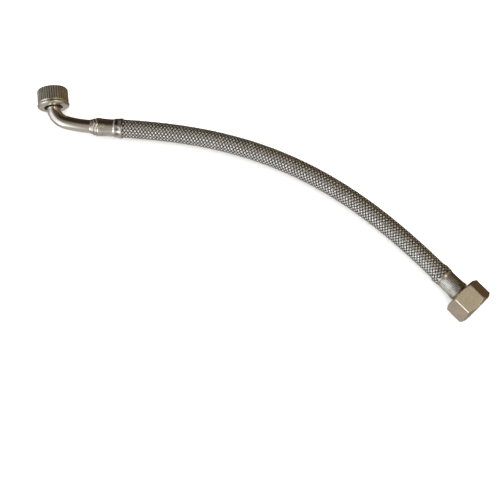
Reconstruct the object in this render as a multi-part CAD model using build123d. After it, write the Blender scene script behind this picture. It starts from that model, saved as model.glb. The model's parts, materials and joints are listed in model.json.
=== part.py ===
from build123d import *
import os
from math import cos, degrees, pi, radians, sin

# Braided supply line: a flexible hose with a G3/8 swivel nut on an elbow and a G1/2 hex nut
# on the straight end. Millimetres, +Z up. The hose's middle line lies in the plane z = 0.
# The origin is on the elbow nut's axis, at the outer end of its thread.

# Hose: a rubber liner in a wire braid
HOSE_LENGTH = 241.0  # between the mouths of the two ferrules
LINER_BORE_R = 4.0
LINER_R = 5.85
BRAID_INNER_R = 5.87
BRAID_R = 6.15

# The hose lies in a bow. Its curvature at s is
# END_CURVE + MIDDLE_CURVE * sin(pi * s / length) + SKEW_CURVE * sin(2 * pi * s / length).
START_HEADING = -3.9  # degrees from +X, at the elbow end
END_CURVE = 0.00133  # 1/mm
MIDDLE_CURVE = 0.00274  # 1/mm
SKEW_CURVE = 0.00024  # 1/mm, more bend in the half by the elbow

# The hose bends at ball-ended breaks between short stiff lengths
SEGMENTS = 15
SEGMENT_LENGTH = HOSE_LENGTH / SEGMENTS
BALL_R = BRAID_R
BALL_GAP = 0.3

# Elbow end. Lengths run from the hose's mouth towards the elbow, or back from the nut's mouth.
ELBOW_LEG = 21.5  # straight, up to the end of the ferrule
EASE_BEND = 12.0  # degrees of gentle bend that lead into the elbow
EASE_BEND_R = 79.0
ELBOW_BEND = 68.0  # degrees
ELBOW_BEND_R = 11.7
TUBE_R = 4.4
TUBE_BORE_R = 3.6
STEM_R = 3.55  # between its barbs
STEM_BORE_R = 2.8
BARB_R = 3.95
ELBOW_FERRULE_LENGTH = 21.3
ELBOW_BARREL_R = 5.7
ELBOW_CRIMP_R = 5.22  # the braid's outside under the crimp
ELBOW_CRIMP_TAPER = 5.2
ELBOW_CRIMP_LENGTH = 16.6
ELBOW_NUT_BACK = 0.3  # past the end of the bend, along the outlet
ELBOW_NUT_LENGTH = 12.7
ELBOW_NUT_R = 10.3
ELBOW_COLLAR_R = 10.65
ELBOW_NUT_HOLE_R = 6.1
ELBOW_THREAD_R = 7.475  # G3/8 minor
ELBOW_THREAD_LENGTH = 4.9
ELBOW_COLLAR_PLAY = 0.35  # between the tube's collar and the thread, all round
ELBOW_GROOVE_R = 8.5
ELBOW_GASKET_INNER_R = 4.0
ELBOW_GASKET_R = 7.7
RIBS = 40

# Straight end. Lengths run from the hose's mouth towards the nut's mouth.
STRAIGHT_FERRULE_LENGTH = 14.6
STRAIGHT_BARREL_R = 6.27
STRAIGHT_CRIMP_R = 5.75
STRAIGHT_CRIMP_TAPER = 3.0
STRAIGHT_CRIMP_LENGTH = 12.8
BULGE_R = 6.9  # the braid swells just before the straight ferrule
NECK_R = 5.0
HEX_NUT_BACK = 15.2
HEX_NUT_LENGTH = 14.6
HEX_ACROSS_FLATS = 24.0
HEX_RIM_R = 11.4  # where the chamfers start
HEX_NUT_TURN = 6.0  # degrees that its top flat leans over
HEX_NUT_HOLE_R = 5.4
HEX_THREAD_R = 9.3155  # G1/2 minor
HEX_THREAD_LENGTH = 6.8
HEX_COLLAR_PLAY = 0.5  # between the tail's collar and the thread, all round
HEX_GROOVE_R = 10.5
HEX_GASKET_INNER_R = 5.5
HEX_GASKET_R = 9.6

# Both nuts
NUT_WALL = 2.1  # the wall behind the collar
NUT_PLAY = 1.2  # how far a nut slides along its tube
LEAD_IN = 1.0  # the chamfer at a nut's mouth, ahead of its thread
COLLAR_THICKNESS = 1.5
GASKET_THICKNESS = 1.8
SEAT_GAP = 0.05
CRIMPED_BRAID = 0.25  # the braid's thickness under a crimp
CLEARANCE = 0.02  # between faces that touch in the real hose


def direction(heading):
    """The level unit vector at heading degrees from +X."""
    return Vector(cos(radians(heading)), sin(radians(heading)))


def chord(radius, bend, heading):
    """From start to end of an arc that leaves at heading and turns right by bend degrees."""
    return direction(heading - bend / 2) * (2 * radius * sin(radians(bend / 2)))


def station(point, heading):
    """A plane across the hose: its z runs along the heading, its y to the right, its x up."""
    return Plane(origin=point, x_dir=(0, 0, 1), z_dir=direction(heading))


def turned(*outline):
    """A solid of revolution about z from an outline of (radius, z) corners."""
    return revolve(Plane.XZ * make_face(Polyline(*outline, close=True)), Axis.Z)


def tube(inner_r, outer_r, start, end):
    """A straight tube along z."""
    ring = Circle(outer_r) - Circle(inner_r)
    return Pos(0, 0, start) * extrude(ring, end - start)


def bent_tube(start, inner_r, outer_r, bend_r, bend):
    """A tube that leaves the plane start and turns right by bend degrees."""
    ring = start * (Circle(outer_r) - Circle(inner_r))
    centre = start.origin + start.y_dir * bend_r
    return revolve(ring, Axis(centre, (0, 0, -1)), bend)


def hose_turn(s):
    """Degrees that the hose has turned right between its start and s."""
    phase = pi * s / HOSE_LENGTH
    wave = MIDDLE_CURVE * HOSE_LENGTH / pi * (1 - cos(phase))
    skew = SKEW_CURVE * HOSE_LENGTH / (2 * pi) * (1 - cos(2 * phase))
    return degrees(END_CURVE * s + wave + skew)


def segment_bend(number):
    """Degrees that one stiff length of the hose turns right."""
    return hose_turn((number + 1) * SEGMENT_LENGTH) - hose_turn(number * SEGMENT_LENGTH)


# The middle line, from the elbow nut's thread back to the hose
LEG_HEADING = START_HEADING + 180
BEND_HEADING = LEG_HEADING - EASE_BEND
OUTLET_HEADING = BEND_HEADING - ELBOW_BEND
OUTLET_LENGTH = ELBOW_NUT_BACK + ELBOW_NUT_LENGTH - LEAD_IN
BEND_END = Vector(0, 0) - direction(OUTLET_HEADING) * OUTLET_LENGTH
BEND_START = BEND_END - chord(ELBOW_BEND_R, ELBOW_BEND, BEND_HEADING)
EASE_START = BEND_START - chord(EASE_BEND_R, EASE_BEND, LEG_HEADING)
HOSE_START = EASE_START - direction(LEG_HEADING) * ELBOW_LEG


def hose_stations():
    """The planes at both ends of the hose and at the breaks between its segments."""
    point = HOSE_START
    heading = START_HEADING
    stations = [station(point, heading)]
    for number in range(SEGMENTS):
        bend = segment_bend(number)
        point = point + chord(SEGMENT_LENGTH / radians(bend), bend, heading)
        heading -= bend
        stations.append(station(point, heading))
    return stations


def hose_segment(stations, number, inner_r, outer_r):
    """One stiff length of liner or braid, with a ball end ahead and a socket behind."""
    bend = segment_bend(number)
    start = stations[number]
    end = stations[number + 1]
    segment = bent_tube(start, inner_r, outer_r, SEGMENT_LENGTH / radians(bend), bend)
    if number > 0:
        segment -= start * Sphere(BALL_R + BALL_GAP)
    if number < SEGMENTS - 1:
        segment += end * (tube(inner_r, outer_r, 0, BALL_R) & Sphere(BALL_R))
    return segment


def crimped_end(inner_r, outer_r, crimped_inner_r, crimped_outer_r, taper, length):
    """The stretch of liner or braid inside a ferrule, from the ferrule's mouth inwards."""
    return turned(
        (inner_r, 0),
        (outer_r, 0),
        (crimped_outer_r, taper),
        (crimped_outer_r, length),
        (crimped_inner_r, length),
        (crimped_inner_r, taper),
    )


def crimped_liner(crimp_r, taper, length):
    """The liner's end, under a crimp that squeezes the braid's outside to crimp_r."""
    outer_r = crimp_r - CRIMPED_BRAID - CLEARANCE
    return crimped_end(LINER_BORE_R, LINER_R, LINER_BORE_R, outer_r, taper, length)


def crimped_braid(crimp_r, taper, length):
    """The braid's end, under a crimp that squeezes its outside to crimp_r."""
    return crimped_end(BRAID_INNER_R, BRAID_R, crimp_r - CRIMPED_BRAID, crimp_r, taper, length)


def braid_bulge():
    """A ring where the braid swells just before a ferrule's mouth at z = 0."""
    mid_wall_r = (BRAID_INNER_R + BRAID_R) / 2
    return turned(
        (mid_wall_r, -5.4),
        (BULGE_R - 0.2, -4.0),
        (BULGE_R, -2.6),
        (BULGE_R - 0.1, -1.2),
        (mid_wall_r, -0.5),
    )


def barbed_stem(length):
    """The outline of a hose tail's barbs, from the tip to the shoulder."""
    first_barb = 2.0
    barb_pitch = 3.0
    barb_drop = 0.6
    corners = [(STEM_BORE_R, first_barb), (STEM_R, first_barb)]
    z = first_barb
    while z + barb_pitch < length:
        corners += [(BARB_R, z + barb_pitch - barb_drop), (STEM_R, z + barb_pitch)]
        z += barb_pitch
    return corners + [(STEM_R, length)]


def elbow_ferrule():
    """Sleeve with a flared mouth, a step, a plain barrel and a bead that closes on the tube."""
    wall_r = ELBOW_CRIMP_R + CLEARANCE
    mouth_r = 6.75
    mouth_inner_r = 6.45
    mouth = -0.5
    step_r = 6.0
    step = ELBOW_CRIMP_TAPER
    bead_r = 6.1
    bead_shoulder_r = 5.4
    end = ELBOW_FERRULE_LENGTH
    end_outer_r = 4.8
    end_inner_r = TUBE_R + SEAT_GAP
    return turned(
        (mouth_inner_r, mouth),
        (mouth_r, mouth),
        (mouth_r - 0.05, 0.6),
        (step_r, step),
        (step_r, step + 0.4),
        (ELBOW_BARREL_R, step + 0.8),
        (ELBOW_BARREL_R, end - 9.6),
        (bead_r, end - 6.0),
        (bead_r, end - 4.4),
        (bead_shoulder_r, end - 2.4),
        (end_outer_r, end),
        (end_inner_r, end),
        (end_inner_r, end - 1.8),
        (wall_r, end - 3.6),
        (wall_r, step),
        (mouth_inner_r, 0.9),
    )


def straight_ferrule():
    """Fluted sleeve with a rolled bead whose edge grips the tail's groove."""
    end = STRAIGHT_FERRULE_LENGTH
    wall_r = STRAIGHT_CRIMP_R + CLEARANCE
    mouth_r = 6.7
    mouth_inner_r = 6.4
    mouth = -0.4
    barrel_end = end - 4.6
    bead_r = 6.9
    bead_start = end - 2.2
    edge = 0.3  # chamfer round the bead
    lip_r = NECK_R - 0.55
    lip = 0.7
    flutes = 40
    flute_r = 0.5
    flute_depth = 0.12
    flute_start = 2.4
    sleeve = turned(
        (mouth_inner_r, mouth),
        (mouth_r, mouth),
        (mouth_r, -mouth),
        (STRAIGHT_BARREL_R, 2.0),
        (STRAIGHT_BARREL_R, barrel_end),
        (bead_r - edge, bead_start - 0.2),
        (bead_r, bead_start + edge),
        (bead_r, end - edge),
        (bead_r - edge, end),
        (lip_r, end),
        (lip_r, end - lip),
        (wall_r, end - lip),
        (wall_r, STRAIGHT_CRIMP_TAPER + 0.2),
        (mouth_inner_r, 0.9),
    )
    flute = extrude(Circle(flute_r), barrel_end - flute_start)
    flute = Pos(STRAIGHT_BARREL_R + flute_r - flute_depth, 0, flute_start) * flute
    return sleeve - PolarLocations(0, flutes) * flute


def elbow_tube():
    """Bent tube with a barbed tail in the hose and a collar inside the nut."""
    swage = ELBOW_CRIMP_LENGTH + 0.2
    collar_r = ELBOW_THREAD_R - ELBOW_COLLAR_PLAY
    tail = turned(
        *barbed_stem(swage),
        (TUBE_R, swage + 0.9),
        (TUBE_R, ELBOW_LEG),
        (TUBE_BORE_R, ELBOW_LEG),
        (TUBE_BORE_R, swage + 1.2),
        (STEM_BORE_R, swage + 0.3),
    )
    leg = station(HOSE_START, LEG_HEADING) * tail
    ease_start = station(EASE_START, LEG_HEADING)
    ease = bent_tube(ease_start, TUBE_BORE_R, TUBE_R, EASE_BEND_R, EASE_BEND)
    bend_start = station(BEND_START, BEND_HEADING)
    bend = bent_tube(bend_start, TUBE_BORE_R, TUBE_R, ELBOW_BEND_R, ELBOW_BEND)
    back = ELBOW_NUT_BACK + NUT_WALL + NUT_PLAY + SEAT_GAP
    outlet = tube(TUBE_BORE_R, TUBE_R, 0, back + COLLAR_THICKNESS)
    outlet += tube(TUBE_BORE_R, collar_r, back, back + COLLAR_THICKNESS)
    return leg + ease + bend + station(BEND_END, OUTLET_HEADING) * outlet


def straight_tail():
    """Turned insert: barbs in the hose, a groove for the ferrule, a neck and a collar."""
    end = STRAIGHT_FERRULE_LENGTH
    back = HEX_NUT_BACK + NUT_WALL + NUT_PLAY + SEAT_GAP
    shoulder = end - 1.2
    groove_r = NECK_R - 0.6
    groove_start = end - 0.75
    countersink = 1.0  # round the bore's mouth
    collar_r = HEX_THREAD_R - HEX_COLLAR_PLAY
    return turned(
        *barbed_stem(shoulder - 0.2),
        (NECK_R, shoulder),
        (NECK_R, groove_start),
        (groove_r, groove_start),
        (groove_r, end + SEAT_GAP),
        (NECK_R, end + SEAT_GAP),
        (NECK_R, back),
        (collar_r, back),
        (collar_r, back + COLLAR_THICKNESS),
        (STEM_BORE_R + countersink, back + COLLAR_THICKNESS),
        (STEM_BORE_R, back),
    )


def gasket(nut_back, inner_r, outer_r):
    """Flat ring just ahead of a tube's collar."""
    start = nut_back + NUT_WALL + NUT_PLAY + COLLAR_THICKNESS + 2 * SEAT_GAP
    return tube(inner_r, outer_r, start, start + GASKET_THICKNESS)


def nut_bore(back, length, hole_r, groove_r, thread_r, thread_length):
    """What a nut is hollow of: back hole, gasket groove, thread bore and mouth chamfer."""
    mouth = back + length
    clear = 1.0  # how far the cut runs past the nut's two ends
    return turned(
        (0, back - clear),
        (hole_r, back - clear),
        (hole_r, back + NUT_WALL),
        (groove_r, back + NUT_WALL),
        (groove_r, mouth - LEAD_IN - thread_length),
        (thread_r, mouth - LEAD_IN - thread_length),
        (thread_r, mouth - LEAD_IN),
        (thread_r + LEAD_IN, mouth),
        (thread_r + LEAD_IN, mouth + clear),
        (0, mouth + clear),
    )


def elbow_nut():
    """Round nut: gripping ribs in front, a smooth band, and a wider rounded collar behind."""
    back = ELBOW_NUT_BACK
    mouth = back + ELBOW_NUT_LENGTH
    collar = 2.2
    ribs_start = back + 3.4
    rib_cut_r = 0.6
    rib_depth = 0.35
    body = turned(
        (0, back),
        (ELBOW_COLLAR_R - 1.1, back),
        (ELBOW_COLLAR_R - 0.3, back + 0.4),
        (ELBOW_COLLAR_R, back + 1.1),
        (ELBOW_COLLAR_R, back + collar - 0.3),
        (ELBOW_NUT_R - 0.1, back + collar),
        (ELBOW_NUT_R, back + collar + 0.3),
        (ELBOW_NUT_R, mouth - 0.9),
        (ELBOW_NUT_R - 1.1, mouth),
        (0, mouth),
    )
    rib_cut = extrude(Circle(rib_cut_r), ELBOW_NUT_LENGTH)
    rib_cut = Pos(ELBOW_NUT_R + rib_cut_r - rib_depth, 0, ribs_start) * rib_cut
    body -= PolarLocations(0, RIBS) * rib_cut
    bore = nut_bore(
        back,
        ELBOW_NUT_LENGTH,
        ELBOW_NUT_HOLE_R,
        ELBOW_GROOVE_R,
        ELBOW_THREAD_R,
        ELBOW_THREAD_LENGTH,
    )
    return body - bore


def hex_nut():
    """Hexagon nut with rounded corners, chamfered at both ends."""
    corner_round = 0.9
    corner_r = HEX_ACROSS_FLATS / 2 / cos(radians(30))
    chamfer_slope = 0.6  # length of chamfer for each millimetre of radius
    mouth = HEX_NUT_BACK + HEX_NUT_LENGTH
    drop = (corner_r - HEX_RIM_R) * chamfer_slope
    outline = RegularPolygon(HEX_ACROSS_FLATS / 2, 6, major_radius=False, rotation=30)
    outline = fillet(outline.vertices(), corner_round)
    prism = Pos(0, 0, HEX_NUT_BACK) * extrude(outline, HEX_NUT_LENGTH)
    chamfers = turned(
        (0, HEX_NUT_BACK),
        (HEX_RIM_R, HEX_NUT_BACK),
        (corner_r, HEX_NUT_BACK + drop),
        (corner_r, mouth - drop),
        (HEX_RIM_R, mouth),
        (0, mouth),
    )
    bore = nut_bore(
        HEX_NUT_BACK,
        HEX_NUT_LENGTH,
        HEX_NUT_HOLE_R,
        HEX_GROOVE_R,
        HEX_THREAD_R,
        HEX_THREAD_LENGTH,
    )
    return Rot(0, 0, HEX_NUT_TURN) * ((prism & chamfers) - bore)


def hose_parts(stations):
    """Liner and braid segments. The first and last run on into their ferrules."""
    parts = {}
    elbow_side = station(HOSE_START, LEG_HEADING)
    straight_side = stations[-1]
    elbow_crimp = (ELBOW_CRIMP_R, ELBOW_CRIMP_TAPER, ELBOW_CRIMP_LENGTH)
    straight_crimp = (STRAIGHT_CRIMP_R, STRAIGHT_CRIMP_TAPER, STRAIGHT_CRIMP_LENGTH)
    for number in range(SEGMENTS):
        liner = hose_segment(stations, number, LINER_BORE_R, LINER_R)
        braid = hose_segment(stations, number, BRAID_INNER_R, BRAID_R)
        if number == 0:
            liner += elbow_side * crimped_liner(*elbow_crimp)
            braid += elbow_side * crimped_braid(*elbow_crimp)
        if number == SEGMENTS - 1:
            liner += straight_side * crimped_liner(*straight_crimp)
            braid += straight_side * crimped_braid(*straight_crimp)
            braid += straight_side * braid_bulge()
        parts[f"liner_{number + 1:02d}"] = liner
        parts[f"braid_{number + 1:02d}"] = braid
    return parts


def fitting_parts(stations):
    """The ferrules, tubes, gaskets and nuts at both ends."""
    ferrule_side = station(HOSE_START, LEG_HEADING)
    outlet = station(BEND_END, OUTLET_HEADING)
    straight = stations[-1]
    elbow_gasket = gasket(ELBOW_NUT_BACK, ELBOW_GASKET_INNER_R, ELBOW_GASKET_R)
    hex_gasket = gasket(HEX_NUT_BACK, HEX_GASKET_INNER_R, HEX_GASKET_R)
    return {
        "elbow_ferrule": ferrule_side * elbow_ferrule(),
        "elbow_tube": elbow_tube(),
        "elbow_gasket": outlet * elbow_gasket,
        "elbow_nut": outlet * elbow_nut(),
        "straight_ferrule": straight * straight_ferrule(),
        "straight_tail": straight * straight_tail(),
        "hex_gasket": straight * hex_gasket,
        "hex_nut": straight * hex_nut(),
    }


def main():
    os.makedirs("parts", exist_ok=True)
    stations = hose_stations()
    parts = hose_parts(stations) | fitting_parts(stations)
    for name, shape in parts.items():
        export_step(shape, f"parts/{name}.step")


main()
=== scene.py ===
import json
import math
import bpy
import numpy as np
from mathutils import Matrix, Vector

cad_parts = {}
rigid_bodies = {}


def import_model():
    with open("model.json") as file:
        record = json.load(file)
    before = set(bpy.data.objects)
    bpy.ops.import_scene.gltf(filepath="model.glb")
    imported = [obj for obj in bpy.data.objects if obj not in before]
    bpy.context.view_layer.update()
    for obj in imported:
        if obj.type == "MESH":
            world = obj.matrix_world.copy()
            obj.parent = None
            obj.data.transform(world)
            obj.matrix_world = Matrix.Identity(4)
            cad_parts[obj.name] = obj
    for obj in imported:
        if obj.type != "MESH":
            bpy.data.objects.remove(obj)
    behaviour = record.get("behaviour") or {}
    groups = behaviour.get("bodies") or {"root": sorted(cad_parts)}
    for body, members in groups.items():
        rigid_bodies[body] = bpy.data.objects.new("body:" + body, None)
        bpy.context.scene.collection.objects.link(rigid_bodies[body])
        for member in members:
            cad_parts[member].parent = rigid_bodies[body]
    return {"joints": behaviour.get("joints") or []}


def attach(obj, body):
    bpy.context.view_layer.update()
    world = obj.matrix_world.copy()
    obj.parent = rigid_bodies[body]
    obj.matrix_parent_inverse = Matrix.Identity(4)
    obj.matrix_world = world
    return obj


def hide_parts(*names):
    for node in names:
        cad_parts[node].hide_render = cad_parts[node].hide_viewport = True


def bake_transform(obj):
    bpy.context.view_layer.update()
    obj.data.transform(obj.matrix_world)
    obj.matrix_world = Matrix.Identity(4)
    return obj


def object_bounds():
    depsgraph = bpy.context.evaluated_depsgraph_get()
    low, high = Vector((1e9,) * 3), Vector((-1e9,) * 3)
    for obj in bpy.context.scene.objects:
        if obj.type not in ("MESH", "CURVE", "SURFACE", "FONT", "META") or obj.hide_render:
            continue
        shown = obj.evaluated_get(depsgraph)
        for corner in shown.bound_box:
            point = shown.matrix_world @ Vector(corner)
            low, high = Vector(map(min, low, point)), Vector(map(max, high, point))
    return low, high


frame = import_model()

CAD_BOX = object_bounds()
MM = 0.001

# Lengths and radii are in millimetres, and are made metres when points are placed.

# Hose: the same bow as the CAD. Its curvature at s is
# END_CURVE + MIDDLE_CURVE * sin(pi * s / length) + SKEW_CURVE * sin(2 * pi * s / length).
HOSE_LENGTH = 241.0
START_HEADING = math.radians(-3.9)
END_CURVE = 0.00133
MIDDLE_CURVE = 0.00274
SKEW_CURVE = 0.00024
SEGMENTS = 15
BRAID_R = 6.15
LINER_R = 5.55
LINER_BORE_R = 4.0

# Braid: strands of thin six-sided wires, the same number each way, over one and under one
STRANDS = 12
WIRES = 5
WIRE_R = 0.11
WIRE_PITCH = 0.222
WIRE_SIDES = 6
CROSSING = 1.16  # along the hose, from one crossing of a wire to the next
LIFT = 0.17  # how far a wire rises and falls at a crossing
RINGS_PER_CROSSING = 4

# Elbow end, lengths from the hose's mouth towards the elbow
ELBOW_LEG = 21.5
EASE_BEND = math.radians(12.0)
EASE_BEND_R = 79.0
ELBOW_BEND = math.radians(68.0)
ELBOW_BEND_R = 11.7
TUBE_R = 4.4
TUBE_BORE_R = 3.6
ELBOW_FERRULE_LENGTH = 21.3
ELBOW_CRIMP = 0.93  # how far the crimp squeezes the braid
ELBOW_CRIMP_TAPER = 5.2
ELBOW_CRIMP_LENGTH = 16.6

# Straight end, lengths from the hose's mouth towards the nut
STRAIGHT_FERRULE_LENGTH = 14.6
STRAIGHT_CRIMP = 0.4
STRAIGHT_CRIMP_TAPER = 3.0
STRAIGHT_CRIMP_LENGTH = 12.8
BULGE = 0.75  # how far the braid swells before the ferrule
HEX_NUT_BACK = 15.2

# Both tails and nuts
STEM_R = 3.55
STEM_BORE_R = 2.8
BARB_R = 3.95
NUT_WALL = 2.1
NUT_PLAY = 1.2
COLLAR = 1.5
LEAD_IN = 1.0
SEAT_GAP = 0.05
ELBOW_NUT_SET_BACK = 0.3  # from the end of the tube's bend to the nut's back
GASKET_THICKNESS = 1.8

# Two places along each hose piece, in stiff lengths past its first one's start, which build_hose works out
# but doesn't use
BEND_STARTS = 0.54
BEND_ENDS = 1.46

PATH_POINTS = 6001  # along each curved path
AIM_OFFSET = (-6.1, -32.0, 0.0)  # from the middle of the object's box to the camera's aim


# ---------------------------------------------------------------- paths
# A path gives, for an array of lengths, its points and its level headings.


def line_path(origin, heading):
    """A straight level line that starts at origin."""
    step = np.array([math.cos(heading), math.sin(heading), 0.0])

    def path(s):
        return np.array(origin) + np.outer(s, step), np.full(len(s), heading)

    return path


def curved_path(grid, headings, anchor_s, anchor):
    """A level curve with these headings at the lengths of grid, which passes through anchor."""
    middle = (headings[1:] + headings[:-1]) / 2
    step = np.diff(grid)
    x = np.concatenate([[0], np.cumsum(np.cos(middle) * step)])
    y = np.concatenate([[0], np.cumsum(np.sin(middle) * step)])
    x += anchor[0] - np.interp(anchor_s, grid, x)
    y += anchor[1] - np.interp(anchor_s, grid, y)

    def path(s):
        points = np.stack([np.interp(s, grid, x), np.interp(s, grid, y), np.zeros(len(s))], 1)
        return points, np.interp(s, grid, headings)

    return path


def hose_joints():
    """The hose's hinges, in order from the elbow end."""
    found = [j for j in frame["joints"] if "_half_" in j["name"]]
    return sorted(found, key=lambda j: j["pos_m"][0])


def hose_path():
    """The hose's middle line, which runs straight on inside both ferrules."""
    run_on = 30.0
    grid = np.linspace(-run_on, HOSE_LENGTH + run_on, PATH_POINTS)
    phase = math.pi * np.clip(grid, 0, HOSE_LENGTH) / HOSE_LENGTH
    turned = END_CURVE * phase + MIDDLE_CURVE * (1 - np.cos(phase))
    turned += SKEW_CURVE * (1 - np.cos(2 * phase)) / 2
    headings = START_HEADING - turned * HOSE_LENGTH / math.pi
    first_hinge = np.array(hose_joints()[0]["pos_m"]) / MM
    return curved_path(grid, headings, HOSE_LENGTH / SEGMENTS, first_hinge)


def elbow_path(hose):
    """From the hose's mouth along the leg, round the two bends and out through the elbow nut."""
    start = hose(np.array([0.0]))[0][0]
    ease_length = EASE_BEND * EASE_BEND_R
    bend_length = ELBOW_BEND * ELBOW_BEND_R
    run_back, run_on = 2.0, 20.0
    grid = np.linspace(-run_back, ELBOW_LEG + ease_length + bend_length + run_on, PATH_POINTS)
    turned = np.clip((grid - ELBOW_LEG) / ease_length, 0, 1) * EASE_BEND
    turned += np.clip((grid - ELBOW_LEG - ease_length) / bend_length, 0, 1) * ELBOW_BEND
    return curved_path(grid, START_HEADING + math.pi - turned, 0.0, start)


# ---------------------------------------------------------------- meshes


def make_mesh(name, points, quads, **point_values):
    """A smooth mesh object from arrays, with named values stored on its points."""
    mesh = bpy.data.meshes.new(name)
    mesh.vertices.add(len(points))
    mesh.vertices.foreach_set("co", np.asarray(points * MM, np.float32).ravel())
    mesh.loops.add(4 * len(quads))
    mesh.loops.foreach_set("vertex_index", np.asarray(quads, np.int32).ravel())
    mesh.polygons.add(len(quads))
    mesh.polygons.foreach_set("loop_start", np.arange(len(quads), dtype=np.int32) * 4)
    mesh.update(calc_edges=True)
    mesh.polygons.foreach_set("use_smooth", np.ones(len(quads), bool))
    for key, values in point_values.items():
        layer = mesh.attributes.new(key, "FLOAT", "POINT")
        layer.data.foreach_set("value", np.asarray(values, np.float32).ravel())
    piece = bpy.data.objects.new(name, mesh)
    bpy.context.scene.collection.objects.link(piece)
    return piece


def outward(points, quads):
    """The quads, turned round if they face inwards."""
    a, b, c, d = (points[quads[:, k]] for k in range(4))
    volume = np.sum(a * np.cross(b, c)) + np.sum(a * np.cross(c, d))
    return quads if volume > 0 else quads[:, ::-1]


def ring_points(path, s, radius, theta):
    """Points at radius and angle theta round a path. Theta 0 is up and 90 degrees is to the right."""
    middle, heading = path(s.ravel())
    across = np.stack([np.sin(heading), -np.cos(heading), np.zeros(len(heading))], 1)
    up = np.array([0.0, 0.0, 1.0])
    r = radius.ravel()[:, None]
    t = theta.ravel()[:, None]
    return middle + r * (np.cos(t) * up + np.sin(t) * across)


def spun(name, path, outline, columns=96, shape=None, angles=None):
    """A solid ring round a path from a closed outline of (radius, length) points.
    shape(r, z, theta) gives the final radius, so that ribs, flats and threads can be cut."""
    outline = np.asarray(outline, float)
    theta = np.linspace(0, 2 * math.pi, columns, endpoint=False) if angles is None else angles
    rows, columns = len(outline), len(theta)
    plain_r = np.repeat(outline[:, :1], columns, 1)
    z = np.repeat(outline[:, 1:], columns, 1)
    t = np.repeat(theta[None, :], rows, 0)
    r = plain_r if shape is None else shape(plain_r, z, t)
    points = ring_points(path, z, r, t)
    row = np.arange(rows)[:, None]
    column = np.arange(columns)[None, :]
    next_row = (row + 1) % rows
    next_column = (column + 1) % columns
    corners = [
        row * columns + column,
        next_row * columns + column,
        next_row * columns + next_column,
        row * columns + next_column,
    ]
    quads = outward(points, np.stack(corners, -1).reshape(-1, 4))
    return make_mesh(name, points, quads, along=z, around=t * r, cut=plain_r - r)


def rounded(corners, step=0.5, arc_steps=4):
    """A closed outline through (radius, length, rounding) corners, with arcs for the roundings
    and points every step along the straights."""
    corners = np.array(corners, float)
    arcs = []
    for here, before, after in zip(corners, np.roll(corners, 1, 0), np.roll(corners, -1, 0)):
        here, to_before, to_after = here[:2], (before - here)[:2], (after - here)[:2]
        reach_before, reach_after = np.linalg.norm(to_before), np.linalg.norm(to_after)
        to_before, to_after = to_before / reach_before, to_after / reach_after
        half = math.acos(np.clip(to_before @ to_after, -1, 1)) / 2
        reach = min(corners[len(arcs)][2] / math.tan(half), 0.45 * reach_before, 0.45 * reach_after)
        if reach < 1e-6:
            arcs.append(here[None])
            continue
        share = np.linspace(0, 1, arc_steps + 1)[:, None]
        start, end = here + to_before * reach, here + to_after * reach
        arcs.append((1 - share) ** 2 * start + 2 * share * (1 - share) * here + share**2 * end)
    points = []
    for arc, following in zip(arcs, arcs[1:] + arcs[:1]):
        points.extend(arc)
        run = following[0] - arc[-1]
        pieces = max(1, math.ceil(np.linalg.norm(run) / step))
        points.extend(arc[-1] + run * k / pieces for k in range(1, pieces))
    return np.array(points)


def smooth_step(x, low, high):
    """0 below low, 1 above high, and an S-curve between."""
    share = np.clip((x - low) / (high - low), 0, 1)
    return share * share * (3 - 2 * share)


# ---------------------------------------------------------------- hose


def hose_radius(s):
    """The braid's outside radius: squeezed in both ferrules, swollen before the straight one."""
    past_end = s - HOSE_LENGTH
    bulge = smooth_step(past_end, -6.0, -3.4) - smooth_step(past_end, -1.7, 0.2)
    squeeze = ELBOW_CRIMP * np.clip(-s / ELBOW_CRIMP_TAPER, 0, 1)
    squeeze += STRAIGHT_CRIMP * np.clip(past_end / STRAIGHT_CRIMP_TAPER, 0, 1)
    return BRAID_R + BULGE * bulge - squeeze


def braid_piece(name, path, low, high):
    """The wires of the braid between two lengths along the hose, each a closed six-sided wire."""
    count = round((high - low) / CROSSING * RINGS_PER_CROSSING)
    s = np.linspace(low, high, count + 1)
    twist = math.pi / STRANDS / CROSSING
    middle_r = hose_radius(s) - WIRE_R - LIFT
    slant = math.sqrt(1 + (twist * middle_r.max()) ** 2)
    side = np.arange(WIRE_SIDES) * 2 * math.pi / WIRE_SIDES
    tones = 5
    points, shade, height = [], [], []
    for way in (1, -1):
        for strand in range(STRANDS):
            for wire in range(WIRES):
                offset = (wire - (WIRES - 1) / 2) * WIRE_PITCH * slant / BRAID_R
                theta = 2 * math.pi * strand / STRANDS + way * twist * s + offset
                crossing = STRANDS * (theta + way * twist * s) / (2 * math.pi)
                rise = way * (-1) ** strand * np.cos(math.pi * crossing)
                wire_r = middle_r + LIFT * rise
                radius = wire_r[:, None] + WIRE_R * np.cos(side)
                angle = theta[:, None] + WIRE_R * slant * np.sin(side) / wire_r[:, None]
                points.append(ring_points(path, np.repeat(s, WIRE_SIDES), radius, angle))
                tone = (wire * 7 + strand * 3) % tones / (tones - 1)
                shade.append(np.full(radius.size, tone))
                height.append(np.repeat(rise, WIRE_SIDES))
    points = np.concatenate(points)
    ring = np.arange(count)[:, None] * WIRE_SIDES
    near = np.arange(WIRE_SIDES)[None, :]
    far = (near + 1) % WIRE_SIDES
    walls = np.stack([ring + near, ring + far, ring + WIRE_SIDES + far, ring + WIRE_SIDES + near], -1)
    end = count * WIRE_SIDES
    caps = [[0, 3, 2, 1], [0, 5, 4, 3], [end, end + 1, end + 2, end + 3], [end, end + 3, end + 4, end + 5]]
    one_wire = outward(points, np.concatenate([walls.reshape(-1, 4), caps]))
    first_points = np.arange(2 * STRANDS * WIRES) * (count + 1) * WIRE_SIDES
    quads = (one_wire[None] + first_points[:, None, None]).reshape(-1, 4)
    return make_mesh(name, points, quads, wire=np.concatenate(shade), height=np.concatenate(height))


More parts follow.
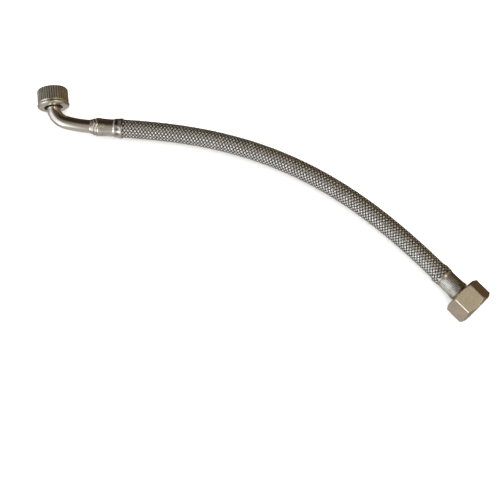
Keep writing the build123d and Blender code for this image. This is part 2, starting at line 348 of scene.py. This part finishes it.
def liner_piece(name, path, low, high):
    """The rubber tube between two lengths along the hose."""
    s = np.linspace(low, high, math.ceil(high - low) + 1)
    outer = [(hose_radius(z) - BRAID_R + LINER_R, z) for z in s]
    return spun(name, path, outer + [(LINER_BORE_R, z) for z in s[::-1]], columns=48)


# ---------------------------------------------------------------- nuts


def bore_corners(back, length, hole_r, groove_r, thread_r, thread_length):
    """The inner half of a nut's outline: mouth chamfer, thread, gasket groove and back hole."""
    mouth = back + length
    thread_start = mouth - LEAD_IN - thread_length
    return [
        (thread_r + LEAD_IN, mouth, 0.15),
        (thread_r, mouth - LEAD_IN, 0.0),
        (thread_r, thread_start, 0.0),
        (groove_r, thread_start, 0.2),
        (groove_r, back + NUT_WALL, 0.2),
        (hole_r, back + NUT_WALL, 0.3),
    ]


def threaded(r, z, theta, thread_r, depth, pitch, low, high):
    """Cuts a right-hand thread into the bore's wall between two lengths."""
    phase = (z / pitch + theta / (2 * math.pi)) % 1.0
    tooth = np.clip((np.abs(phase - 0.5) * 2 - 0.12) / 0.76, 0, 1)
    fade = smooth_step(z, low, low + pitch) * (1 - smooth_step(z, high - pitch / 2, high))
    on_wall = (r < thread_r + 0.02) & (r > thread_r - 0.02)
    return np.where(on_wall, thread_r + depth * tooth * fade, r)


def elbow_nut_mesh(path, back):
    """Round nut with straight gripping ribs, a plain band and a wider collar behind."""
    length = 12.7
    body_r = 10.3
    collar_r = 10.65
    hole_r, groove_r = 6.1, 8.5
    thread_r, thread_length = 7.475, 4.9
    thread_depth, thread_pitch = 0.82, 1.337
    ribs = 40
    rib_depth = 0.48
    mouth = back + length
    ribs_start = back + 3.3
    corners = [
        (hole_r, back, 0.5),
        (8.2, back, 1.0),
        (9.7, back + 0.25, 0.7),
        (collar_r, back + 1.0, 0.7),
        (collar_r, back + 2.0, 0.35),
        (body_r - 0.3, back + 2.35, 0.15),
        (body_r - 0.3, back + 2.9, 0.15),
        (body_r, back + 3.2, 0.15),
        (body_r, mouth - 0.9, 0.4),
        (body_r - 0.9, mouth, 0.4),
    ]
    corners += bore_corners(back, length, hole_r, groove_r, thread_r, thread_length)
    outline = rounded(corners, 0.16)

    def shape(r, z, theta):
        wave = 0.5 - 0.5 * np.cos(ribs * theta)
        bite = rib_depth * smooth_step(wave, 0.15, 1.0)
        window = smooth_step(z, ribs_start, ribs_start + 0.7)
        outside = (r > body_r - 1.2) & (z > ribs_start)
        r = np.where(outside, np.minimum(r, body_r - bite * window), r)
        low = mouth - LEAD_IN - thread_length
        return threaded(r, z, theta, thread_r, thread_depth, thread_pitch, low, mouth - LEAD_IN)

    return spun("elbow_nut_body", path, outline, ribs * 10, shape)


def hex_nut_mesh(path, back):
    """Hexagon nut, chamfered at both ends, with rounded corners."""
    length = 14.6
    half_flats = 12.0
    corner_r = half_flats / math.cos(math.radians(30))
    rim_r = 11.3
    slope = 0.6
    corner_round = 1.1
    ease = 0.15  # how softly a chamfer runs into a flat
    turn = math.radians(6.0)
    hole_r, groove_r = 5.4, 10.5
    thread_r, thread_length = 9.3155, 6.8
    thread_depth, thread_pitch = 1.1, 1.814
    mouth = back + length
    drop = (corner_r - rim_r) * slope
    corners = [
        (hole_r, back, 0.4),
        (rim_r, back, 0.3),
        (corner_r, back + drop, 0.0),
        (corner_r, mouth - drop, 0.0),
        (rim_r, mouth, 0.3),
    ]
    corners += bore_corners(back, length, hole_r, groove_r, thread_r, thread_length)
    outline = rounded(corners, 0.14)

    # degrees from a corner, closer together near it
    near_corner = np.arange(-6, 6, 0.3)
    between = np.arange(6, 54, 2.0)
    sixth = np.radians(np.concatenate([near_corner, between])) + math.radians(30)
    angles = np.concatenate([sixth + k * math.pi / 3 for k in range(6)]) + turn
    arc_centre = (half_flats - corner_round) / math.cos(math.pi / 6)
    arc_reach = math.atan2(corner_round / 2, arc_centre + corner_round * math.cos(math.pi / 6))

    def shape(r, z, theta):
        from_corner = (theta - turn) % (math.pi / 3) - math.pi / 6
        flat = half_flats / np.cos(math.pi / 6 - np.abs(from_corner))
        inside = np.maximum(corner_round**2 - (arc_centre * np.sin(from_corner)) ** 2, 0)
        arc = arc_centre * np.cos(from_corner) + np.sqrt(inside)
        hexagon = np.where(np.abs(from_corner) < arc_reach, arc, flat)
        share = np.clip(0.5 + 0.5 * (hexagon - r) / ease, 0, 1)
        eased = hexagon * (1 - share) + r * share - ease * share * (1 - share)
        r = np.where(r > rim_r - 0.5, eased, r)
        low = mouth - LEAD_IN - thread_length
        return threaded(r, z, theta, thread_r, thread_depth, thread_pitch, low, mouth - LEAD_IN)

    return spun("hex_nut_body", path, outline, shape=shape, angles=angles)


def gasket_mesh(name, path, back, inner_r, outer_r):
    """Flat ring just ahead of a tail's collar."""
    start = back + NUT_WALL + NUT_PLAY + COLLAR + 2 * SEAT_GAP
    end = start + GASKET_THICKNESS
    edge = 0.25
    corners = [(inner_r, start, edge), (outer_r, start, edge), (outer_r, end, edge), (inner_r, end, edge)]
    return spun(name, path, rounded(corners, 0.3), 96)


# ---------------------------------------------------------------- ferrules and tails


def elbow_ferrule_mesh(path):
    """Pressed sleeve: a flared, dented mouth, a step, a plain barrel and a wrinkled bead."""
    end = ELBOW_FERRULE_LENGTH
    inner_r = TUBE_R + SEAT_GAP
    wall_r = BRAID_R - ELBOW_CRIMP + 0.02
    barrel_r = 5.72
    corners = [
        (6.45, -0.5, 0.1),
        (6.8, -0.5, 0.15),
        (6.78, 0.4, 0.3),
        (6.4, 3.0, 1.5),
        (6.3, 4.7, 0.6),
        (barrel_r, 5.7, 0.3),
        (barrel_r, 11.0, 3.0),
        (6.08, 15.2, 1.5),
        (6.06, 16.8, 1.2),
        (5.35, 19.0, 1.0),
        (4.75, 20.6, 0.6),
        (inner_r + 0.2, end, 0.15),
        (inner_r, end, 0.05),
        (inner_r, end - 1.8, 0.0),
        (wall_r, end - 3.6, 0.0),
        (wall_r, ELBOW_CRIMP_TAPER, 0.0),
        (6.45, 0.9, 0.3),
    ]
    dents = 9
    dent_turn = math.radians(18)

    def shape(r, z, theta):
        row = (0.5 + 0.5 * np.cos(dents * (theta - dent_turn))) ** 1.3
        dent = 0.45 * np.exp(-(((z - 2.8) / 1.5) ** 2)) * row
        ripple = 0.05 * np.exp(-(((z - 4.4) / 0.5) ** 2)) * np.cos(2 * dents * theta)
        waver = 0.5 * np.sin(3 * theta + 0.8) + 0.25 * np.sin(7 * theta)
        wrinkle = np.cos(2 * math.pi * (z + waver) / 2.1)
        wrinkle = 0.2 * wrinkle * smooth_step(z, 15.0, 16.6) * (1 - smooth_step(z, 19.4, 21.0))
        mouth_side = (z < 5.0) & (r > np.interp(z, [0.9, 5.0], [6.46, wall_r + 0.3]))
        bead_side = (z > 15) & (r > np.interp(z, [17.7, 19.5], [wall_r + 0.1, inner_r + 0.1]))
        r = np.where(mouth_side, r - dent + ripple, r)
        return np.where(bead_side, r + wrinkle, r)

    return spun("elbow_ferrule_shell", path, rounded(corners, 0.16), 144, shape)


def straight_ferrule_mesh(path):
    """Pressed sleeve with a rolled mouth, fine lengthwise flutes and an end bead."""
    end = STRAIGHT_FERRULE_LENGTH
    barrel_r = 6.27
    wall_r = BRAID_R - STRAIGHT_CRIMP + 0.02
    lip_r = 4.45
    corners = [
        (6.42, -0.4, 0.1),
        (6.72, -0.4, 0.15),
        (6.76, 0.3, 0.3),
        (6.5, 0.9, 0.3),
        (barrel_r, 1.7, 0.5),
        (barrel_r, 8.6, 2.0),
        (6.5, 11.4, 0.8),
        (6.55, 12.0, 0.15),
        (6.9, 12.4, 0.25),
        (6.92, 13.0, 0.3),
        (6.7, 13.35, 0.2),
        (6.85, 13.7, 0.3),
        (6.5, end, 0.5),
        (lip_r, end, 0.1),
        (lip_r, end - 0.7, 0.0),
        (wall_r, end - 0.7, 0.0),
        (wall_r, STRAIGHT_CRIMP_TAPER + 0.2, 0.0),
        (6.42, 0.9, 0.3),
    ]
    flutes = 36
    depths = 0.08 + 0.14 * np.random.default_rng(7).random(flutes)

    def shape(r, z, theta):
        place = theta / (2 * math.pi) * flutes
        depth = depths[np.floor(place + 0.5).astype(int) % flutes]
        valley = (0.5 + 0.5 * np.cos(2 * math.pi * place)) ** 2
        window = smooth_step(z, 1.4, 2.4) * (1 - smooth_step(z, 10.6, 11.8))
        return np.where(r > barrel_r - 0.2, r - depth * valley * window, r)

    return spun("straight_ferrule_shell", path, rounded(corners, 0.16), flutes * 8, shape)


def barbs(last):
    """The corners of a stem's barbs, from its tip up to the length last."""
    tip, first_foot, spacing, barb_step = 2.0, 5.0, 3.0, 0.6
    corners = [(STEM_BORE_R, tip, 0.1), (STEM_R, tip, 0.1)]
    for foot in np.arange(first_foot, last, spacing):
        corners += [(BARB_R, foot - barb_step, 0.05), (STEM_R, foot, 0.05)]
    return corners + [(STEM_R, last, 0.0)]


def elbow_tube_mesh(path, back):
    """The bent tube, from its stem in the hose to its collar in the nut."""
    swage = ELBOW_CRIMP_LENGTH + 0.2
    collar_start = back + NUT_WALL + NUT_PLAY + SEAT_GAP
    collar_end = collar_start + COLLAR
    collar_r = 7.125
    corners = barbs(swage) + [
        (TUBE_R, swage + 0.9, 0.4),
        (TUBE_R, collar_start, 0.15),
        (collar_r, collar_start, 0.2),
        (collar_r, collar_end, 0.2),
        (TUBE_BORE_R, collar_end, 0.3),
        (TUBE_BORE_R, swage + 1.2, 0.5),
        (STEM_BORE_R, swage + 0.3, 0.5),
    ]
    return spun("elbow_tube_metal", path, rounded(corners, 0.5), 96)


def straight_tail_mesh(path, back):
    """Turned insert with barbs, a neck and the collar that the hex nut bears on."""
    end = STRAIGHT_FERRULE_LENGTH
    collar_start = back + NUT_WALL + NUT_PLAY + SEAT_GAP
    neck_r, groove_r, collar_r = 5.0, 4.4, 8.8155
    corners = barbs(end - 1.4) + [
        (neck_r, end - 1.2, 0.1),
        (neck_r, end - 0.75, 0.0),
        (groove_r, end - 0.75, 0.0),
        (groove_r, end + SEAT_GAP, 0.0),
        (neck_r, end + SEAT_GAP, 0.1),
        (neck_r, collar_start, 0.1),
        (collar_r, collar_start, 0.2),
        (collar_r, collar_start + COLLAR, 0.25),
        (STEM_BORE_R + 1, collar_start + COLLAR, 0.2),
        (STEM_BORE_R, collar_start, 0.3),
    ]
    return spun("straight_tail_metal", path, rounded(corners, 0.4), 96)


# ---------------------------------------------------------------- materials


class Surface:
    """A Principled material being built, with short calls for the nodes it needs."""

    def __init__(self, name, metallic=0.0):
        self.material = bpy.data.materials.new(name)
        self.material.use_nodes = True
        self.tree = self.material.node_tree
        self.shader = self.tree.nodes["Principled BSDF"]
        self.shader.inputs["Metallic"].default_value = metallic

    def give(self, socket, value):
        """Links an output, or sets a plain value or colour."""
        if isinstance(value, bpy.types.NodeSocket):
            self.tree.links.new(value, socket)
        elif isinstance(value, tuple) and socket.type == "RGBA":
            socket.default_value = (*value, 1.0)
        else:
            socket.default_value = value

    def math(self, operation, a, b):
        made = self.tree.nodes.new("ShaderNodeMath")
        made.operation = operation
        self.give(made.inputs[0], a)
        self.give(made.inputs[1], b)
        return made.outputs["Value"]

    def stored(self, key):
        """A value stored on the mesh's points."""
        made = self.tree.nodes.new("ShaderNodeAttribute")
        made.attribute_name = key
        return made.outputs["Fac"]

    def place_on(self, along, around):
        """Millimetres along and around a spun piece, each scaled."""
        made = self.tree.nodes.new("ShaderNodeCombineXYZ")
        self.give(made.inputs["X"], self.math("MULTIPLY", self.stored("along"), along))
        self.give(made.inputs["Y"], self.math("MULTIPLY", self.stored("around"), around))
        return made.outputs["Vector"]

    def noise(self, scale, detail=4.0, place=None):
        made = self.tree.nodes.new("ShaderNodeTexNoise")
        made.inputs["Scale"].default_value = scale
        made.inputs["Detail"].default_value = detail
        if place is None:
            place = self.tree.nodes.new("ShaderNodeTexCoord").outputs["Object"]
        self.give(made.inputs["Vector"], place)
        return made.outputs["Fac"]

    def spread(self, value, low, high, out_low=0.0, out_high=1.0):
        """Maps low..high onto out_low..out_high, held at both ends."""
        made = self.tree.nodes.new("ShaderNodeMapRange")
        settings = {"From Min": low, "From Max": high, "To Min": out_low, "To Max": out_high}
        for key, number in settings.items():
            made.inputs[key].default_value = number
        self.give(made.inputs["Value"], value)
        return made.outputs["Result"]

    def mix(self, share, a, b):
        made = self.tree.nodes.new("ShaderNodeMix")
        made.data_type = "RGBA"
        colours = [socket for socket in made.inputs if socket.type == "RGBA"]
        self.give(made.inputs[0], share)
        self.give(colours[0], a)
        self.give(colours[1], b)
        return next(socket for socket in made.outputs if socket.type == "RGBA")

    def bump(self, height, strength, distance):
        made = self.tree.nodes.new("ShaderNodeBump")
        self.give(made.inputs["Height"], height)
        made.inputs["Strength"].default_value = strength
        made.inputs["Distance"].default_value = distance * MM
        self.give(self.shader.inputs["Normal"], made.outputs["Normal"])

    def finish(self, colour, roughness):
        self.give(self.shader.inputs["Base Color"], colour)
        self.give(self.shader.inputs["Roughness"], roughness)
        return self.material


def nickel(name, clean, worn, roughness, along, around, cut_shade_depth=0.0):
    """Nickel plate with tool streaks, faint stains and fine pits. Along and around set the
    streaks' fineness. Cuts get painted shade that deepens with their depth, full at the depth given last."""
    surface = Surface(name, metallic=1.0)
    streaks = surface.noise(1.0, 3.0, surface.place_on(along, around))
    stain = surface.noise(160.0, 5.0)
    pits = surface.noise(2600.0, 2.0)
    colour = surface.mix(surface.spread(stain, 0.42, 0.66), clean, worn)
    # painted shade: the colour is darkened by how deep a cut is, standing in for the shade inside ribs,
    # threads and dents
    if cut_shade_depth:
        share = surface.spread(surface.stored("cut"), 0.0, cut_shade_depth, 0.0, 0.75)
        colour = surface.mix(share, colour, tuple(0.25 * c for c in worn))
    shine = surface.math("ADD", surface.spread(streaks, 0.3, 0.7, -0.04, 0.06), roughness)
    shine = surface.math("ADD", shine, surface.spread(stain, 0.45, 0.7, 0.0, 0.10))
    surface.bump(surface.math("ADD", streaks, surface.math("MULTIPLY", pits, 0.35)), 0.18, 0.04)
    return surface.finish(colour, shine)


def braid_wire():
    """Drawn stainless wire: bright where it rides high, and near black with painted shade where it dips
    under the crossing wires.
    """
    surface = Surface("braid_wire", metallic=1.0)
    share = surface.math("MULTIPLY", surface.stored("wire"), 0.3)
    stain = surface.noise(220.0)
    share = surface.math("ADD", share, surface.spread(stain, 0.35, 0.7, 0.0, 0.5))
    colour = surface.mix(share, (0.97, 0.97, 0.96), (0.80, 0.78, 0.74))
    # painted shade: the lower a wire dips under the crossing wires, the nearer black its colour
    dip = surface.spread(surface.stored("height"), 0.8, -0.15)
    colour = surface.mix(dip, colour, (0.05, 0.045, 0.038))
    return surface.finish(colour, surface.spread(stain, 0.3, 0.7, 0.22, 0.36))


def rubber(name, colour):
    """Matt black rubber with a faint moulded grain and pale dust."""
    surface = Surface(name)
    dust = surface.noise(300.0)
    surface.bump(surface.noise(1800.0, 3.0), 0.3, 0.05)
    tint = surface.mix(surface.spread(dust, 0.45, 0.8), colour, tuple(2.2 * c for c in colour))
    return surface.finish(tint, surface.spread(dust, 0.3, 0.7, 0.55, 0.75))


def turned_brass():
    """Machined brass: fine rings round the piece and a dull film."""
    surface = Surface("turned_brass", metallic=1.0)
    film = surface.noise(240.0)
    surface.bump(surface.noise(1.0, 3.0, surface.place_on(14.0, 0.15)), 0.25, 0.03)
    colour = surface.mix(surface.spread(film, 0.35, 0.7), (0.80, 0.62, 0.32), (0.52, 0.38, 0.18))
    return surface.finish(colour, surface.spread(film, 0.3, 0.7, 0.24, 0.4))


def floor_paint():
    """Matt near-white paint with the faintest mottle."""
    surface = Surface("pale_floor")
    colour = surface.mix(surface.noise(30.0), (0.90, 0.90, 0.90), (0.92, 0.92, 0.92))
    return surface.finish(colour, 0.7)


# ---------------------------------------------------------------- building


def dress(piece, material, slot, *nodes):
    """Gives a piece its material and hides the CAD nodes that it stands for."""
    piece.data.materials.append(material)
    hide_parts(*nodes)


def build_hose(path):
    """The braid and the liner, cut between hinges so that each piece spans one hinge."""
    wire = braid_wire()
    black = rubber("liner_rubber", (0.012, 0.012, 0.013))
    hinges = hose_joints()
    step = HOSE_LENGTH / SEGMENTS
    cuts = [step * (k + 0.5) for k in range(SEGMENTS)]
    cuts[0] = -ELBOW_CRIMP_LENGTH
    cuts[-1] = HOSE_LENGTH + STRAIGHT_CRIMP_LENGTH
    for k, hinge in enumerate(hinges):
        bend_starts, bend_ends = path(np.array([k + BEND_STARTS, k + BEND_ENDS]) * step)[0] * MM
        elbow_side, straight_side = hinge["parent"], hinge["child"]
        if hinge["name"].startswith("elbow"):
            elbow_side, straight_side = straight_side, elbow_side
        numbers = [k + 1] if k < SEGMENTS - 2 else [k + 1, k + 2]
        for kind, build, material in (("braid", braid_piece, wire), ("liner", liner_piece, black)):
            piece = build(f"hose_{kind}_{k + 1:02d}", path, cuts[k], cuts[k + 1])
            dress(piece, material, kind, *[f"{kind}_{number:02d}" for number in numbers])
            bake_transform(piece)


def build_fittings(hose):
    """The metal and rubber pieces at both ends, each on its own body."""
    hose_end, end_heading = hose(np.array([HOSE_LENGTH]))
    straight = line_path(hose_end[0], end_heading[0])
    elbow = elbow_path(hose)
    nut_back = ELBOW_LEG + EASE_BEND * EASE_BEND_R + ELBOW_BEND * ELBOW_BEND_R + ELBOW_NUT_SET_BACK
    tube_metal = nickel("tube_nickel", (0.72, 0.69, 0.65), (0.60, 0.56, 0.50), 0.14, 0.12, 5.0)
    sleeve = nickel("pressed_sleeve", (0.68, 0.66, 0.62), (0.52, 0.49, 0.43), 0.2, 0.25, 5.0, 0.3)
    dull_sleeve = nickel("dull_sleeve", (0.48, 0.46, 0.43), (0.39, 0.36, 0.32), 0.24, 0.25, 5.0, 0.2)
    round_nut = nickel("round_nut_nickel", (0.66, 0.63, 0.56), (0.48, 0.44, 0.36), 0.24, 0.4, 6.0, 0.42)
    hex_nut = nickel("hex_nut_nickel", (0.66, 0.61, 0.52), (0.60, 0.55, 0.46), 0.24, 5.0, 0.3)
    brass = turned_brass()
    black = rubber("gasket_rubber", (0.022, 0.022, 0.024))
    elbow_ring = gasket_mesh("elbow_gasket_ring", elbow, nut_back, 4.0, 7.7)
    hex_ring = gasket_mesh("hex_gasket_ring", straight, HEX_NUT_BACK, 5.5, 9.6)
    rows = (
        (elbow_tube_mesh(elbow, nut_back), tube_metal, "elbow_tube", "elbow_tube", "elbow_end"),
        (elbow_ferrule_mesh(elbow), sleeve, "ferrule", "elbow_ferrule", "elbow_end"),
        (elbow_nut_mesh(elbow, nut_back), round_nut, "elbow_nut", "elbow_nut", "elbow_nut"),
        (elbow_ring, black, "gasket", "elbow_gasket", "elbow_gasket"),
        (straight_tail_mesh(straight, HEX_NUT_BACK), brass, "tail", "straight_tail", "straight_end"),
        (straight_ferrule_mesh(straight), dull_sleeve, "ferrule", "straight_ferrule", "straight_end"),
        (hex_nut_mesh(straight, HEX_NUT_BACK), hex_nut, "hex_nut", "hex_nut", "hex_nut"),
        (hex_ring, black, "gasket", "hex_gasket", "hex_gasket"),
    )
    for piece, material, slot, node, body in rows:
        dress(piece, material, slot, node)
        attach(piece, body)


# ---------------------------------------------------------------- stage


def build_floor(low, centre):
    """A pale floor under the lowest point, which the metal doesn't mirror."""
    bpy.ops.mesh.primitive_plane_add(size=8.0, location=(centre.x, centre.y, low.z - 0.2 * MM))
    floor = bpy.context.object
    floor.name = "floor"
    floor.data.materials.append(floor_paint())
    floor.visible_glossy = False


def build_room():
    """Soft glows all round in a dark warm room: a window to the lower left, dull overhead light."""
    world = bpy.data.worlds.new("room")
    bpy.context.scene.world = world
    world.use_nodes = True
    tree = world.node_tree
    looking = tree.nodes.new("ShaderNodeTexCoord").outputs["Generated"]
    total = (0.035, 0.024, 0.016)
    # direction, degrees from it to the glow's outer and inner edges, colour
    glows = (
        ((0.25, -0.6, 0.76), 68, 15, (0.43, 0.40, 0.33)),
        ((0.0, -0.97, -0.26), 55, 15, (0.46, 0.45, 0.44)),
        ((-0.8, -0.5, 0.33), 42, 20, (1.12, 1.16, 1.24)),
        ((-0.72, -0.45, -0.53), 42, 15, (0.31, 0.26, 0.22)),
        ((-0.7, 0.24, 0.67), 28, 12, (0.3, 0.3, 0.3)),
        ((-1.0, 0.3, 0.0), 65, 25, (0.38, 0.39, 0.4)),
        ((1.0, -0.2, 0.15), 66, 25, (0.31, 0.235, 0.13)),
        ((0.6, 0.75, -0.3), 60, 20, (0.07, 0.045, 0.02)),
        ((0.0, -0.2, -0.98), 36, 12, (0.5, 0.46, 0.45)),
        ((0.38, -0.2, 0.9), 14, 5, (4.0, 3.6, 3.0)),
        ((-0.62, -0.72, 0.3), 14, 6, (4.5, 4.7, 5.0)),
    )
    for direction, outer, inner, colour in glows:
        toward = tree.nodes.new("ShaderNodeVectorMath")
        toward.operation = "DOT_PRODUCT"
        tree.links.new(looking, toward.inputs[0])
        toward.inputs[1].default_value = Vector(direction).normalized()
        share = tree.nodes.new("ShaderNodeMapRange")
        share.interpolation_type = "SMOOTHSTEP"
        share.inputs["From Min"].default_value = math.cos(math.radians(outer))
        share.inputs["From Max"].default_value = math.cos(math.radians(inner))
        tree.links.new(toward.outputs["Value"], share.inputs["Value"])
        glow = tree.nodes.new("ShaderNodeVectorMath")
        glow.operation = "MULTIPLY_ADD"
        tree.links.new(share.outputs["Result"], glow.inputs[0])
        glow.inputs[1].default_value = colour
        if isinstance(total, tuple):
            glow.inputs[2].default_value = total
        else:
            tree.links.new(total, glow.inputs[2])
        total = glow.outputs["Vector"]
    tree.links.new(total, tree.nodes["Background"].inputs["Color"])


def lamp(name, shape, place, size, power, colour=(1.0, 1.0, 1.0)):
    """A flat lamp that shines straight down."""
    lamp_data = bpy.data.lights.new(name, "AREA")
    lamp_data.shape = shape
    lamp_data.size = size
    lamp_data.energy = power
    lamp_data.color = colour
    made = bpy.data.objects.new(name, lamp_data)
    made.location = place
    bpy.context.scene.collection.objects.link(made)
    return made


def build_lamps(centre):
    """A wide lamp that lights the floor softly and isn't mirrored in the metal, and a small
    dull panel over the straight end, which is."""
    ceiling = lamp("ceiling", "DISK", centre + Vector((0, 0, 1.6)), 3.0, 72.0)
    ceiling.visible_glossy = False
    straight_end = centre + Vector((0.145, 0.095, 0.475))
    lamp("panel", "SQUARE", straight_end, 0.36, 0.12, (1.0, 0.88, 0.66))


def build_camera(centre):
    """A camera that looks down on the hose from the viewer's side."""
    distance = 0.9
    elevation = math.radians(76)
    half_width = 0.163125  # metres that half the picture spans at the aim
    aim = centre + Vector(AIM_OFFSET) * MM
    back = Vector((0, -math.cos(elevation), math.sin(elevation)))
    camera = bpy.data.objects.new("camera", bpy.data.cameras.new("camera"))
    camera.location = aim + back * distance
    camera.rotation_euler = back.to_track_quat("Z", "Y").to_euler()
    camera.data.angle = 2 * math.atan(half_width / distance)
    bpy.context.scene.collection.objects.link(camera)
    bpy.context.scene.camera = camera


def build_stage():
    low, high = CAD_BOX
    centre = (low + high) / 2
    build_floor(low, centre)
    build_room()
    build_lamps(centre)
    build_camera(centre)
    bpy.context.scene.view_settings.view_transform = "Standard"


hose_line = hose_path()
build_hose(hose_line)
build_fittings(hose_line)
build_stage()
